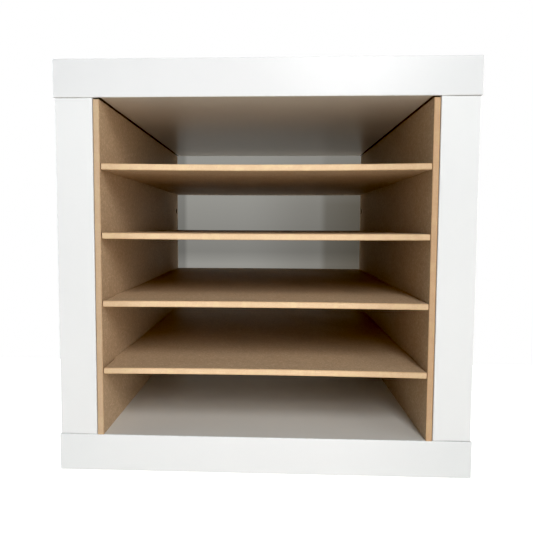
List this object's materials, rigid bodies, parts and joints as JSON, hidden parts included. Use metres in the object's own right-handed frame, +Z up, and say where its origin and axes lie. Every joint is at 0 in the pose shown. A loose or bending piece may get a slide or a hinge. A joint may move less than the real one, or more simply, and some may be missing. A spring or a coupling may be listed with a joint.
{
  "type": "paint rack organizer",
  "caption": "White open-backed cube cabinet with a slide-in raw fibreboard insert whose wide, shallow shelves hold paints and craft supplies.",
  "frame": {"origin": "centre of the cabinet's footprint, on the surface that it stands on", "axes": "+X to the right seen from the front, +Y from the front to the back, +Z up"},
  "size_m": [0.412, 0.39, 0.409],
  "materials": {
    "white_foil": "satin",
    "white_edging": "satin",
    "frame_wood": "matte",
    "paper_core": "matte",
    "zinc_steel": "satin",
    "dowel_wood": "matte",
    "raw_fibreboard": "matte"
  },
  "bodies": {
    "cabinet": {"top_board_outer_skin": "white_foil", "top_board_inner_skin": "white_foil", "top_board_frame_strips": "frame_wood", "top_board_honeycomb_core": "paper_core", "top_board_edge_bands": "white_edging", "bottom_board_outer_skin": "white_foil", "bottom_board_inner_skin": "white_foil", "bottom_board_frame_strips": "frame_wood", "bottom_board_honeycomb_core": "paper_core", "bottom_board_edge_bands": "white_edging", "left_side_board_outer_skin": "white_foil", "left_side_board_inner_skin": "white_foil", "left_side_board_frame_strips": "frame_wood", "left_side_board_honeycomb_core": "paper_core", "left_side_board_edge_bands": "white_edging", "right_side_board_outer_skin": "white_foil", "right_side_board_inner_skin": "white_foil", "right_side_board_frame_strips": "frame_wood", "right_side_board_honeycomb_core": "paper_core", "right_side_board_edge_bands": "white_edging", "top_connecting_screws": "zinc_steel", "top_dowels": "dowel_wood", "bottom_connecting_screws": "zinc_steel", "bottom_dowels": "dowel_wood"},
    "insert": {"insert_left_upright": "raw_fibreboard", "insert_right_upright": "raw_fibreboard", "insert_shelf_1": "raw_fibreboard", "insert_shelf_2": "raw_fibreboard", "insert_shelf_3": "raw_fibreboard", "insert_shelf_4": "raw_fibreboard"}
  },
  "joints": [
    {"name": "insert_slide", "type": "slide", "parent": "cabinet", "child": "insert", "axis": [0, -1, 0], "range_m": [0, 0.4]}
  ]
}
